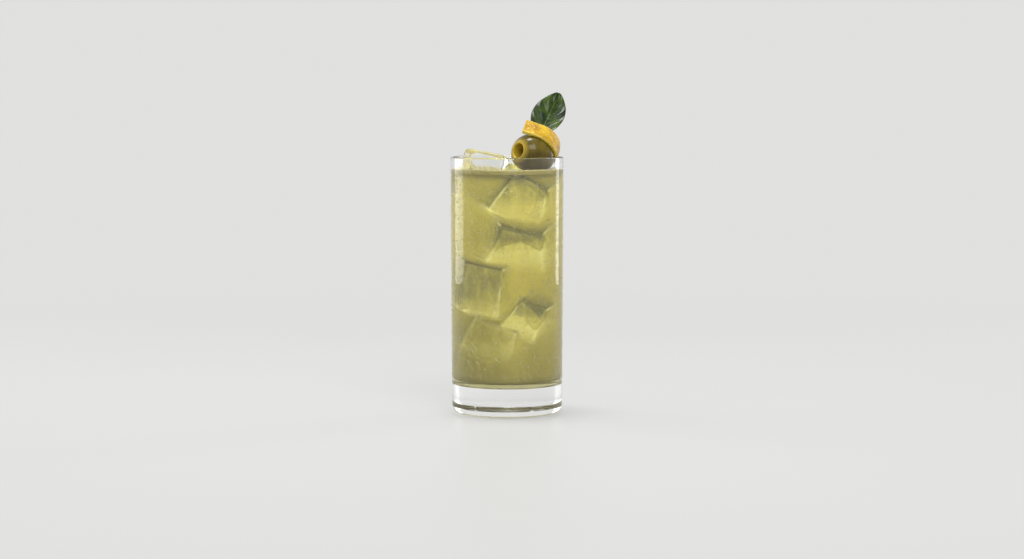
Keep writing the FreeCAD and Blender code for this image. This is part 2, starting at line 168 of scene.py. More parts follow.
FIZZ = {"Beads_per_square_metre": 7000.0, "Smallest_radius": 0.08 * MM,
        "Largest_radius": 0.3 * MM, "Most_are_small": 2.5, "Seed": 11}
FROTH_BUBBLES_FROM, FROTH_BUBBLES_TO = 0.2 * MM, 1.4 * MM
FROTH_BUBBLES_OFF_WALL = 0.7 * MM
FROTH_BUBBLE_FLATNESS = 0.9
FROTH_BUBBLES = {"Beads_per_square_metre": 900000.0, "Smallest_radius": 0.15 * MM,
                 "Largest_radius": 0.75 * MM, "Most_are_small": 2.5, "Seed": 5}

# --- the band of peel and the ring that it follows, as the part has them; turns in degrees ---
RING_TURN = (-108.0, 38.5, -62.0)
RING_OFFSET = 6.6 * MM
PEEL_WIDTH = 10.2 * MM
PEEL_VOXEL = 0.24 * MM
PEEL_SMOOTHING = 2
# pith shows where the skin turns away from the outside, and a little along the cut edges
PITH_TURN = (0.25, 0.75)
PITH_ALONG_EDGE = (0.1 * MM, 0.9 * MM)
PITH_AT_EDGE = 0.6

# --- the basil leaf, as the part has it ---
LEAF_LENGTH = 36.0 * MM
LEAF_HALF_WIDTH = 10.6 * MM
LEAF_THICKNESS = 0.5 * MM
LEAF_FOLD = math.radians(24.0)
LEAF_ARCH = 2.6 * MM
LEAF_QUILTING = 0.55 * MM
LEAF_CUP = 0.45
LEAF_TURN = (-13.0, 16.8, -42.0)
LEAF_TUCK = 2.4 * MM
LEAF_SEAT_ANGLE = math.radians(137.0)
LEAF_SEAT_REACH = 6.0 * MM
LEAF_FROM, LEAF_TO = 0.02, 0.972
WIDTH_RISE, WIDTH_FALL = 0.85, 0.88
VEIN_PAIRS = 4
VEIN_SWEEP = 0.3
LEAF_ROWS = 120
LEAF_POINTS = 36

# --- what the finer blade adds to the part's leaf ---
BLADE_SHARE = 0.7
BLADE_QUILTING = 1.25
VEIN_HEIGHT = 0.12 * MM
MIDRIB_SIDE = (0.02, 0.075)
VEIN_SIDE = (0.06, 0.2)
VEIN_END = (0.75, 1.0)
MIDRIB_STRENGTH, VEIN_STRENGTH = 0.8, 0.4

# --- the hole of the olive ---
OLIVE_TURN = (43.0, 11.0, 0.0)
OLIVE_LENGTH = 27.5 * MM
PIT_RADIUS = 4.2 * MM
# the pale cut edge: how far past the hole it stays full, where it ends, and how deep it reaches
CUT_FULL, CUT_END = 0.35 * MM, 0.9 * MM
CUT_DEPTH_FULL, CUT_DEPTH_END = 12.0 * MM, 16.0 * MM

# --- colours, as 0-255 screen values; a ramp pairs them with the places where they stand ---
HAZE_RAMP = ((0.3, (238, 231, 162)), (0.7, (250, 244, 186)))
# the cloud darker towards the bottom: partly the drink's own colour, partly painted shade
CLOUD_TINT_AND_SHADE_BY_HEIGHT = (
    (0.0, (146, 137, 28)), (0.35, (198, 187, 72)), (0.97, (231, 221, 128)),
    (0.99, (188, 180, 100)))
CLOUD_SWIRLS = ((0.35, (196, 190, 120)), (0.65, (250, 240, 190)))
# the ice seen through the cloud, from painted shade to painted light
ICE_PAINTED_SHADE_TONES = (
    (0.1, (104, 104, 44)), (0.4, (164, 160, 80)), (0.62, (218, 210, 128)), (0.9, (254, 250, 190)))
# the painted glint along the ice's edges
ICE_PAINTED_GLINT_COLOUR = (250, 244, 196)
FROTH_RAMP = ((0.1, (208, 199, 148)), (0.7, (164, 153, 92)))
OLIVE_SKIN = ((0.3, (64, 52, 0)), (0.52, (88, 74, 0)), (0.75, (116, 100, 2)))
OLIVE_SPECKS = (150, 132, 30)
OLIVE_CUT = (200, 172, 58)
RIND = ((0.3, (168, 124, 0)), (0.5, (200, 156, 2)), (0.75, (230, 194, 24)))
PITH = (238, 214, 96)
LEAF_BLADE = ((0.3, (14, 32, 0)), (0.52, (34, 56, 0)), (0.75, (66, 90, 4)))
LEAF_VEINS = (88, 112, 34)

# --- the studio; its colours are light values ---
BACKDROP = (0.75, 0.75, 0.745, 1.0)
SURROUNDINGS = (0.62, 0.62, 0.62, 1.0)
# lit at a plain level the floor's own colour comes close to the backdrop's
FLOOR_RAMP = ((0.3, (0.6, 0.6, 0.595, 1.0)), (0.7, (0.62, 0.62, 0.615, 1.0)))
FLOOR_REACH = 4.0
FLOOR_THICKNESS = 0.001
FLOOR_STEPS = 96
# how far out the floor has run into the backdrop, and how much of it does so near the drink
FLOOR_FADES_BY = 0.9
FLOOR_FADE_NEAR = 0.35
DRINK_MIDDLE = (0, 0, 0.08)
STRIP_AIM = (0, 0, 0.5)
CAMERA_PLACE = Vector((0.0029, -1.4, 0.190))
CAMERA_AIM = Vector((0.0029, 0.0, 0.078))
CAMERA_LENS = 84.2

# --- sockets that only their numbers tell apart: of the colour mix and of the random value ---
MIX_SHARE, MIX_FIRST, MIX_SECOND, MIX_RESULT = 0, 6, 7, 2
CHANCE_AS_FLOAT = 1


def turn_matrix(yaw, pitch, roll):
    """The part's yaw, pitch and roll, in degrees, as a turn about Z, then Y, then X."""
    angles = Euler((math.radians(roll), math.radians(pitch), math.radians(yaw)), "XYZ")
    return angles.to_matrix().to_4x4()


RING_PLACE = Matrix.Translation(OLIVE_CENTRE) @ turn_matrix(*RING_TURN)
RING_PLACE = RING_PLACE @ Matrix.Translation((-RING_OFFSET - PEEL_WIDTH / 2, 0, 0))
OLIVE_PLACE = Matrix.Translation(OLIVE_CENTRE) @ turn_matrix(*OLIVE_TURN)
OLIVE_PLACE = OLIVE_PLACE @ Matrix.Translation((-OLIVE_LENGTH / 2, 0, 0))


def linear(red, green, blue):
    """A colour given as 0-255 screen values, as the light values that a shader takes."""
    # the numbers are those of the standard sRGB curve
    parts = [value / 255 for value in (red, green, blue)]
    light = [part / 12.92 if part <= 0.04045 else ((part + 0.055) / 1.055) ** 2.4
             for part in parts]
    return (*light, 1.0)


# --- building meshes ---
def new_piece(name, mesh):
    """A mesh as an object of its own, at the origin."""
    piece = bpy.data.objects.new(name, mesh)
    bpy.context.scene.collection.objects.link(piece)
    return piece


def mesh_from(name, points, faces):
    """A smoothly shaded mesh of points and faces."""
    mesh = bpy.data.meshes.new(name)
    mesh.from_pydata([tuple(point) for point in points], [], faces)
    shade(mesh, True)
    mesh.update()
    return mesh


def shade(mesh, smooth):
    """Shade every face smoothly, or every face flat."""
    mesh.polygons.foreach_set("use_smooth", [smooth] * len(mesh.polygons))


def lathe(name, outline, steps=ROUND_STEPS):
    """Turn an outline of (radius, height), which starts and ends on the Z axis, about that axis."""
    points = [(0, 0, outline[0][1])]
    for radius, height in outline[1:-1]:
        for step in range(steps):
            angle = 2 * math.pi * step / steps
            points.append((radius * math.cos(angle), radius * math.sin(angle), height))
    points.append((0, 0, outline[-1][1]))
    top = len(points) - 1
    rings = len(outline) - 2
    faces = []
    for step in range(steps):
        after = (step + 1) % steps
        faces.append((0, 1 + after, 1 + step))
        for ring in range(rings - 1):
            low, high = 1 + ring * steps, 1 + (ring + 1) * steps
            faces.append((low + step, low + after, high + after, high + step))
        last = 1 + (rings - 1) * steps
        faces.append((last + step, last + after, top))
    return mesh_from(name, points, faces)


def settle(piece):
    """Apply a piece's modifiers and keep the result as its plain mesh."""
    graph = bpy.context.evaluated_depsgraph_get()
    settled = bpy.data.meshes.new_from_object(piece.evaluated_get(graph))
    piece.modifiers.clear()
    old = piece.data
    piece.data = settled
    bpy.data.meshes.remove(old)
    settled.name = piece.name
    return piece


def cut(piece, tools):
    """Take closed pieces away from a closed piece."""
    for tool in tools:
        modifier = piece.modifiers.new("cut", "BOOLEAN")
        modifier.operation = "DIFFERENCE"
        modifier.solver = "MANIFOLD"
        modifier.object = tool
    return settle(piece)


def remesh(piece, voxel, smoothing):
    """Even out a closed piece's faces and soften its edges."""
    even = piece.modifiers.new("even", "REMESH")
    even.mode = "VOXEL"
    even.voxel_size = voxel
    even.use_smooth_shade = True
    soft = piece.modifiers.new("soft", "SMOOTH")
    soft.factor = SOFTENING
    soft.iterations = smoothing
    return settle(piece)


def node_copy(node, name):
    """A new piece with the merged mesh of a node of the part."""
    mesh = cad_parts[node].data.copy()
    mesh.name = name
    mesh.materials.clear()
    build = bmesh.new()
    build.from_mesh(mesh)
    bmesh.ops.remove_doubles(build, verts=build.verts, dist=WELD_DISTANCE)
    build.to_mesh(mesh)
    build.free()
    shade(mesh, True)
    return new_piece(name, mesh)


def points_of(mesh):
    """The places of a mesh's vertices, one row each."""
    points = np.empty(len(mesh.vertices) * 3)
    mesh.vertices.foreach_get("co", points)
    return points.reshape(-1, 3)


def normals_of(mesh):
    """The normals at a mesh's vertices, one row each."""
    normals = np.empty(len(mesh.vertices) * 3)
    mesh.vertex_normals.foreach_get("vector", normals)
    return normals.reshape(-1, 3)


def move_points(mesh, points):
    """Put a mesh's vertices at new places."""
    mesh.vertices.foreach_set("co", np.asarray(points).ravel())
    mesh.update()


def swell(piece, distance, name):
    """A copy of a piece with its skin moved outwards, or inwards where the distance is negative."""
    mesh = piece.data.copy()
    move_points(mesh, points_of(mesh) + normals_of(mesh) * distance)
    return new_piece(name, mesh)


def remove(pieces):
    """Delete helper pieces together with their meshes."""
    for piece in pieces:
        mesh = piece.data
        bpy.data.objects.remove(piece)
        bpy.data.meshes.remove(mesh)


def write_attribute(mesh, name, values):
    """Store one number for each vertex, for the shaders to read."""
    layer = mesh.attributes.new(name, "FLOAT", "POINT")
    layer.data.foreach_set("value", np.asarray(values, dtype=np.float32))


def smoothstep(low, high, values):
    """0 up to the low end, 1 from the high end on, with an even change between."""
    share = np.clip((values - low) / (high - low), 0, 1)
    return share * share * (3 - 2 * share)


# --- building shaders ---
class Finish:
    """A material under construction: add() makes a node, and wire() joins two sockets."""

    def __init__(self, name):
        self.material = bpy.data.materials.new(name)
        self.material.use_nodes = True
        self.tree = self.material.node_tree
        self.surface = self.tree.nodes["Principled BSDF"]
        self.output = self.tree.nodes["Material Output"]

    def add(self, kind, settings=(), **inputs):
        """A node with its settings, and its input values by name."""
        made = self.tree.nodes.new(kind)
        for name, value in dict(settings).items():
            setattr(made, name, value)
        for name, value in inputs.items():
            made.inputs[name.replace("_", " ")].default_value = value
        return made

    def wire(self, source, socket, target, name):
        """Join an output of one node to an input of another."""
        self.tree.links.new(source.outputs[socket], target.inputs[name])

    def set(self, **inputs):
        """Values on the shader's own sockets."""
        for name, value in inputs.items():
            self.surface.inputs[name.replace("_", " ")].default_value = value

    def colour(self, source, socket):
        """What gives the surface its colour."""
        self.wire(source, socket, self.surface, "Base Color")

    def relief(self, source):
        """What gives the surface its small relief."""
        self.wire(source, "Normal", self.surface, "Normal")

    def place(self, scale=(1, 1, 1), turn=(0, 0, 0), shift=(0, 0, 0)):
        """The object's own coordinates, shifted, turned and stretched."""
        where = self.add("ShaderNodeTexCoord")
        mapping = self.add("ShaderNodeMapping")
        mapping.inputs["Location"].default_value = shift
        mapping.inputs["Rotation"].default_value = turn
        mapping.inputs["Scale"].default_value = scale
        self.wire(where, "Object", mapping, "Vector")
        return mapping

    def plain(self, colour):
        """One even colour, given as screen values."""
        made = self.add("ShaderNodeRGB")
        made.outputs["Color"].default_value = linear(*colour)
        return made

    def noise(self, where, scale, detail=3.0, roughness=0.5, distortion=0.0):
        """Even noise over a place."""
        made = self.add("ShaderNodeTexNoise", Scale=scale, Detail=detail, Roughness=roughness,
                        Distortion=distortion)
        self.wire(where, "Vector", made, "Vector")
        return made

    def ramp(self, source, socket, stops):
        """Colours along a value: pairs of a place and a colour in screen values."""
        return self.band(source, socket, [(at, linear(*colour)) for at, colour in stops])

    def mask(self, source, socket, stops):
        """Greys along a value: pairs of a place and a brightness."""
        return self.band(source, socket, [(at, (grey, grey, grey, 1)) for at, grey in stops])

    def band(self, source, socket, stops):
        """Colours along a value: pairs of a place and a colour in light values."""
        made = self.add("ShaderNodeValToRGB")
        elements = made.color_ramp.elements
        while len(elements) < len(stops):
            elements.new(0.5)
        for element, (at, colour) in zip(elements, stops):
            element.position = at
            element.color = colour
        self.wire(source, socket, made, "Fac")
        return made

    def blend(self, share, share_socket, first, first_socket, second, second_socket):
        """Mix two colour outputs by a value."""
        made = self.add("ShaderNodeMix", {"data_type": "RGBA"})
        self.wire(share, share_socket, made, MIX_SHARE)
        self.wire(first, first_socket, made, MIX_FIRST)
        self.wire(second, second_socket, made, MIX_SECOND)
        return made

    def combine(self, operation, first, first_socket, second, second_socket):
        """A sum or product of two values."""
        made = self.add("ShaderNodeMath", {"operation": operation})
        self.wire(first, first_socket, made, 0)
        self.wire(second, second_socket, made, 1)
        return made

    def choose(self, share, share_socket, other, other_socket):
        """The surface itself, or another shader where the share is 1."""
        choice = self.add("ShaderNodeMixShader")
        self.wire(share, share_socket, choice, "Fac")
        self.wire(self.surface, "BSDF", choice, 1)
        self.wire(other, other_socket, choice, 2)
        self.wire(choice, "Shader", self.output, "Surface")

    def bump(self, source, socket, strength, distance, under=None):
        """Relief from a value, on top of other relief where that is given."""
        made = self.add("ShaderNodeBump", Strength=strength, Distance=distance)
        self.wire(source, socket, made, "Height")
        if under:
            self.wire(under, "Normal", made, "Normal")
        return made

    def let_lamps_through(self, tint):
        """Rays from lamps pass straight through, so that what lies behind is lit."""
        rays = self.add("ShaderNodeLightPath")
        clear = self.add("ShaderNodeBsdfTransparent", Color=tint)
        self.choose(rays, "Is Shadow Ray", clear, "BSDF")


def glass_finish():
    """Clear soda glass, with the faintest waviness of a pressed tumbler."""
    finish = Finish("clear_glass")
    finish.set(Base_Color=(0.985, 0.99, 0.985, 1), Roughness=0.0, IOR=1.5,
               Transmission_Weight=1.0)
    waves = finish.noise(finish.place(scale=(1, 1, 0.35)), scale=60.0, detail=1.0)
    finish.relief(finish.bump(waves, "Fac", strength=0.12, distance=0.2 * MM))
    finish.let_lamps_through(tint=(0.94, 0.95, 0.94, 1))
    return finish.material


def liquid_finish():
    """The clear part of the drink, slightly tinted, with a veil of citrus haze."""
    finish = Finish("citrus_liquid")
    finish.set(Roughness=0.0, IOR=1.34, Transmission_Weight=0.93)
    haze = finish.noise(finish.place(scale=(1, 1, 0.6)), scale=55.0, detail=3.0, roughness=0.55,
                        distortion=0.6)
    finish.colour(finish.ramp(haze, "Fac", HAZE_RAMP), "Color")
    finish.let_lamps_through(tint=(0.97, 0.96, 0.86, 1))
    return finish.material


def cloud_finish():
    """The cloudy body of the drink: darker low down, partly its own colour and partly painted
    shade, and with the ice's painted shade, light and edge glints where ice lies behind its skin.
    """
    finish = Finish("citrus_cloud")
    finish.set(Roughness=0.6, Subsurface_Weight=0.5, Subsurface_Scale=1.2 * MM,
               Subsurface_Radius=(1.0, 0.9, 0.45), Specular_IOR_Level=0.1)
    height = finish.add("ShaderNodeSeparateXYZ")
    finish.wire(finish.place(), "Vector", height, "Vector")
    along = finish.add("ShaderNodeMapRange", From_Min=FLOOR, From_Max=LEVEL)
    finish.wire(height, "Z", along, "Value")
    # darker towards the bottom, partly painted shade
    depth = finish.ramp(along, "Result", CLOUD_TINT_AND_SHADE_BY_HEIGHT)
    swirl = finish.noise(finish.place(scale=(1, 1, 0.5)), scale=38.0, detail=3.0, roughness=0.55,
                         distortion=1.2)
    clouds = finish.ramp(swirl, "Fac", CLOUD_SWIRLS)
    mixed = finish.add("ShaderNodeMix", {"data_type": "RGBA", "blend_type": "MULTIPLY"},
                       Factor=0.35)
    finish.wire(depth, "Color", mixed, MIX_FIRST)
    finish.wire(clouds, "Color", mixed, MIX_SECOND)
    streaks = finish.noise(finish.place(scale=(1, 1, 0.45), turn=(0.4, 0.3, 0)), scale=210.0,
                           detail=4.0, roughness=0.62, distortion=0.8)
    uneven = finish.add("ShaderNodeMapRange", From_Min=0.3, From_Max=0.7, To_Min=-0.16,
                        To_Max=0.16)
    finish.wire(streaks, "Fac", uneven, "Value")
    # the ice's painted shade and light, and painted glints along its edges, carried by attributes
    clear, pale, edge = [finish.add("ShaderNodeAttribute", {"attribute_name": name})
                         for name in ("ice_clear", "ice_pale", "ice_edge")]
    broken = finish.combine("ADD", pale, "Fac", uneven, "Result")
    tone = finish.ramp(broken, "Value", ICE_PAINTED_SHADE_TONES)
    through_ice = finish.blend(clear, "Fac", mixed, MIX_RESULT, tone, "Color")
    # painted glints along the ice's edges
    thin = finish.add("ShaderNodeMapRange", To_Max=0.9)
    finish.wire(edge, "Fac", thin, "Value")
    result = finish.blend(thin, "Result", through_ice, MIX_RESULT, finish.plain(ICE_PAINTED_GLINT_COLOUR), "Color")
    finish.colour(result, MIX_RESULT)
    return finish.material


def ice_finish():
    """Clear ice with fine parallel lines of trapped air and a melted, wavy skin."""
    finish = Finish("clear_ice")
    finish.set(Base_Color=(0.97, 0.98, 0.97, 1), IOR=1.31, Transmission_Weight=1.0)
    lines = finish.add("ShaderNodeTexWave", {"wave_type": "BANDS", "bands_direction": "X"},
                       Scale=330.0, Distortion=2.2, Detail=2.0)
    finish.wire(finish.place(turn=(0.3, 0.5, 0.9)), "Vector", lines, "Vector")
    melted = finish.noise(finish.place(), scale=140.0, detail=3.0, roughness=0.5)
    fine = finish.bump(lines, "Fac", strength=0.12, distance=0.3 * MM)
    finish.relief(finish.bump(melted, "Fac", strength=0.5, distance=0.8 * MM, under=fine))
    frost = finish.noise(finish.place(), scale=90.0, detail=4.0, roughness=0.6)
    rough = finish.add("ShaderNodeMapRange", From_Min=0.45, From_Max=0.75, To_Min=0.02,
                       To_Max=0.28)
    finish.wire(frost, "Fac", rough, "Value")
    finish.wire(rough, "Result", finish.surface, "Roughness")
    finish.let_lamps_through(tint=(0.93, 0.94, 0.93, 1))
    return finish.material


def froth_finish():
    """Pale froth: fine bubbles packed together."""
    finish = Finish("pale_froth")
    finish.set(Roughness=0.35, Subsurface_Weight=0.6, Subsurface_Scale=1.5 * MM,
               Subsurface_Radius=(1.0, 0.95, 0.7))
    cells = finish.add("ShaderNodeTexVoronoi", {"feature": "F1"}, Scale=1500.0)
    finish.wire(finish.place(), "Vector", cells, "Vector")
    finish.colour(finish.ramp(cells, "Distance", FROTH_RAMP), "Color")
    finish.relief(finish.bump(cells, "Distance", strength=0.6, distance=-0.3 * MM))
    return finish.material


def water_finish(name, ior, tint, clearness):
    """Small drops and bubbles, each with a slightly uneven skin."""
    finish = Finish(name)
    finish.set(Base_Color=tint, Roughness=0.03, IOR=ior, Transmission_Weight=clearness)
    ripple = finish.noise(finish.place(), scale=900.0, detail=1.0)
    finish.relief(finish.bump(ripple, "Fac", strength=0.1, distance=0.1 * MM))
    finish.let_lamps_through(tint=(0.97, 0.97, 0.96, 1))
    return finish.material


def olive_finish():
    """Brined olive skin, glossy and mottled, with a paler cut edge and flesh inside the hole."""
    finish = Finish("olive_flesh")
    finish.set(Roughness=0.3, Coat_Weight=0.3, Coat_Roughness=0.06, Specular_IOR_Level=0.2,
               Subsurface_Weight=0.15, Subsurface_Scale=2.0 * MM,
               Subsurface_Radius=(1.0, 0.7, 0.2))
    inverse = OLIVE_PLACE.inverted()
    along = finish.place(turn=inverse.to_euler(), shift=inverse.to_translation())
    apart = finish.add("ShaderNodeSeparateXYZ")
    finish.wire(along, "Vector", apart, "Vector")
    blotch = finish.noise(along, scale=120.0, detail=4.0, roughness=0.6, distortion=0.4)
    skin = finish.ramp(blotch, "Fac", OLIVE_SKIN)
    specks = finish.noise(along, scale=1400.0, detail=2.0, roughness=0.6)
    dots = finish.mask(specks, "Fac", ((0.6, 0), (0.72, 0.5)))
    speckled = finish.blend(dots, "Color", skin, "Color", finish.plain(OLIVE_SPECKS), "Color")
    flat = finish.add("ShaderNodeCombineXYZ")
    finish.wire(apart, "Y", flat, "X")
    finish.wire(apart, "Z", flat, "Y")
    across = finish.add("ShaderNodeVectorMath", {"operation": "LENGTH"})
    finish.wire(flat, "Vector", across, "Vector")
    rim = finish.mask(across, "Value", (
        (0.0, 1), (PIT_RADIUS + CUT_FULL, 1), (PIT_RADIUS + CUT_END, 0)))
    front = finish.mask(apart, "X", ((CUT_DEPTH_FULL, 1), (CUT_DEPTH_END, 0)))
    cut_edge = finish.combine("MULTIPLY", rim, "Color", front, "Color")
    result = finish.blend(cut_edge, "Value", speckled, MIX_RESULT, finish.plain(OLIVE_CUT), "Color")
    finish.colour(result, MIX_RESULT)
    finish.relief(finish.bump(blotch, "Fac", strength=0.25, distance=0.5 * MM))
    return finish.material


def peel_finish():
    """Lemon rind with oil pores outside, pale pith at the cut edges and inside."""
    finish = Finish("lemon_rind")
    finish.set(Roughness=0.32, Subsurface_Weight=0.15, Subsurface_Scale=1.0 * MM,
               Subsurface_Radius=(1.0, 0.7, 0.2))
    patch = finish.noise(finish.place(), scale=160.0, detail=3.0, roughness=0.55)
    rind = finish.ramp(patch, "Fac", RIND)
    share = finish.add("ShaderNodeAttribute", {"attribute_name": "pith"})
    result = finish.blend(share, "Fac", rind, "Color", finish.plain(PITH), "Color")
    finish.colour(result, MIX_RESULT)
    pores = finish.add("ShaderNodeTexVoronoi", {"feature": "SMOOTH_F1"}, Scale=620.0)
    finish.wire(finish.place(), "Vector", pores, "Vector")
    finish.relief(finish.bump(pores, "Distance", strength=0.9, distance=0.55 * MM))
    return finish.material


def leaf_finish():
    """Basil: a dark glossy blade with a paler midrib and veins."""
    finish = Finish("basil_green")
    finish.set(Roughness=0.28, Specular_IOR_Level=0.3, Subsurface_Weight=0.1,
               Subsurface_Scale=0.6 * MM, Subsurface_Radius=(0.5, 1.0, 0.2))
    patch = finish.noise(finish.place(), scale=150.0, detail=2.0, roughness=0.5)
    blade = finish.ramp(patch, "Fac", LEAF_BLADE)
    veins = finish.add("ShaderNodeAttribute", {"attribute_name": "veins"})
    result = finish.blend(veins, "Fac", blade, "Color", finish.plain(LEAF_VEINS), "Color")
    finish.colour(result, MIX_RESULT)
    finish.relief(finish.bump(patch, "Fac", strength=0.4, distance=0.5 * MM))
    return finish.material


def seen_directly(tree):
    """1 for rays from the camera and those that gloss or glass sends on, otherwise 0."""
    rays = tree.nodes.new("ShaderNodeLightPath")
    seen, socket = rays, "Is Camera Ray"
    for other in ("Is Transmission Ray", "Is Glossy Ray"):
        either = tree.nodes.new("ShaderNodeMath")
        either.operation = "MAXIMUM"
        tree.links.new(seen.outputs[socket], either.inputs[0])
        tree.links.new(rays.outputs[other], either.inputs[1])
        seen, socket = either, "Value"
    return seen


def floor_finish():
    """A plain pale floor, lit near the drink and running into the backdrop further away."""
    finish = Finish("pale_floor")
    finish.set(Roughness=0.4, Specular_IOR_Level=0.3)
    cloud = finish.noise(finish.place(), scale=2.0, detail=2.0)
    finish.colour(finish.band(cloud, "Fac", FLOOR_RAMP), "Color")
    glow = finish.add("ShaderNodeEmission", Color=BACKDROP)
    away = finish.add("ShaderNodeVectorMath", {"operation": "LENGTH"})
    finish.wire(finish.place(), "Vector", away, "Vector")
    fade = finish.add("ShaderNodeMapRange", {"interpolation_type": "SMOOTHSTEP"},
                      From_Min=0.0, From_Max=FLOOR_FADES_BY, To_Min=FLOOR_FADE_NEAR, To_Max=1.0)
    finish.wire(away, "Value", fade, "Value")
    share = finish.combine("MULTIPLY", seen_directly(finish.tree), "Value", fade, "Result")
    finish.choose(share, "Value", glow, "Emission")
    return finish.material


# --- the drink ---
def inside_radius(height):
    """The glass's inside wall at a height."""
    return FLOOR_RADIUS + (LEVEL_RADIUS - FLOOR_RADIUS) * (height - FLOOR) / (LEVEL - FLOOR)


def vessel_outline(inset, bottom, top):
    """Half the outline of what fills the glass up to a height, a little inside or into its wall."""
    edge = inside_radius(bottom + FLOOR_ROUNDING) - inset
    outline = [(0, bottom), (edge - FLOOR_ROUNDING, bottom)]
    for step in range(1, FLOOR_ROUNDING_STEPS + 1):
        angle = math.pi / 2 * step / FLOOR_ROUNDING_STEPS
        outline.append((edge - FLOOR_ROUNDING + FLOOR_ROUNDING * math.sin(angle),
                        bottom + FLOOR_ROUNDING * (1 - math.cos(angle))))
    for height in np.linspace(bottom + FLOOR_ROUNDING, top, WALL_ROWS + 1)[1:]:
        outline.append((inside_radius(height) - inset, height))
    return outline


def make_liquid(ice):
    """The clear liquid: it reaches into the wall, climbs it a little and has room for the ice."""
    outline = vessel_outline(-INTO_WALL, FLOOR - INTO_WALL, LEVEL + MENISCUS_RISE)
    edge = outline[-1][0]
    for step in range(1, MENISCUS_STEPS + 1):
        share = step / MENISCUS_STEPS
        outline.append((edge - MENISCUS_REACH * share, LEVEL + MENISCUS_RISE * (1 - share) ** 2))
    outline.append((0, LEVEL))
    liquid = new_piece("drink_liquid", lathe("drink_liquid", outline))
    cavities = [swell(block, -ICE_INTO_DRINK, "cavity") for block in ice]
    cut(liquid, cavities)
    remove(cavities)
    return liquid


def look_into_ice(starts, directions):
    """What straight looks meet: how clearly ice shows, its painted shade and light, and a painted
    glint by how near an edge it is.
    """
    count = len(starts)
    nearest = np.full(count, FARTHEST_LOOK)
    clear, pale, edge = np.zeros(count), np.zeros(count), np.zeros(count)
    light = np.array(Vector(DAYLIGHT_FROM).normalized())
    rows = np.arange(count)
    for centre, size, turn in ALL_ICE:
        # starts and directions along the block's own axes, where it's a plain box
        axes = np.array(turn_matrix(*turn).to_3x3())
        half = np.array(size) * MM / 2
        start = (starts - np.array(centre) * MM) @ axes
        heading = directions @ axes
        heading = np.where(np.abs(heading) < TINY, TINY, heading)
        side = np.sign(heading)
        into, out_of = (-half * side - start) / heading, (half * side - start) / heading
        enter, leave = np.maximum(into.max(axis=1), 0), out_of.min(axis=1)
        # the faces that the look enters and leaves by, and the block's painted shade and light from
        # their slopes
        first, last = into.argmax(axis=1), out_of.argmin(axis=1)
        near_face = -side[rows, first][:, None] * axes.T[first]
        far_face = -side[rows, last][:, None] * axes.T[last]
        tone = PAINTED_SHADING_MEAN + PAINTED_LIGHT_ON_FAR_FACE * (far_face @ light)
        tone = tone - PAINTED_SHADE_ON_TOP_FACE * np.clip(near_face[:, 2], 0, 1)
        # a painted glint along the edges of the faces where the look enters and leaves
        line = np.zeros(count)
        for way, weight in ((enter, NEAR_EDGE_GLINT), (leave, FAR_EDGE_GLINT)):
            place = np.sort(np.abs((start + heading * way[:, None]) / half), axis=1)
            line = np.maximum(line, weight * smoothstep(*PAINTED_GLINT_BAND, place[:, 1]))
        closer = (leave > enter) & (enter < nearest)
        fade = np.exp(-enter / LOOK_FADE)
        nearest = np.where(closer, enter, nearest)
        clear = np.where(closer, fade * smoothstep(0, THICK_ICE, leave - enter), clear)
        pale = np.where(closer, tone, pale)
        edge = np.where(closer, fade * line, edge)
    return clear, pale, edge


def soft_look_into_ice(starts, directions):
    """The mean of several looks that spread a little, because haze blurs the deeper ice."""
    rng = np.random.default_rng(LOOK_SEED)
    clear, pale, edge = 0, 0, 0
    for _ in range(LOOKS):
        spread = directions + rng.normal(0, LOOK_SPREAD, 3)
        spread /= np.linalg.norm(spread, axis=1)[:, None]
        once = look_into_ice(starts, spread)
        clear, pale, edge = clear + once[0], pale + once[0] * once[1], edge + once[2]
    return clear / LOOKS, np.clip(pale / np.maximum(clear, FAINTEST), 0, 1), edge / LOOKS


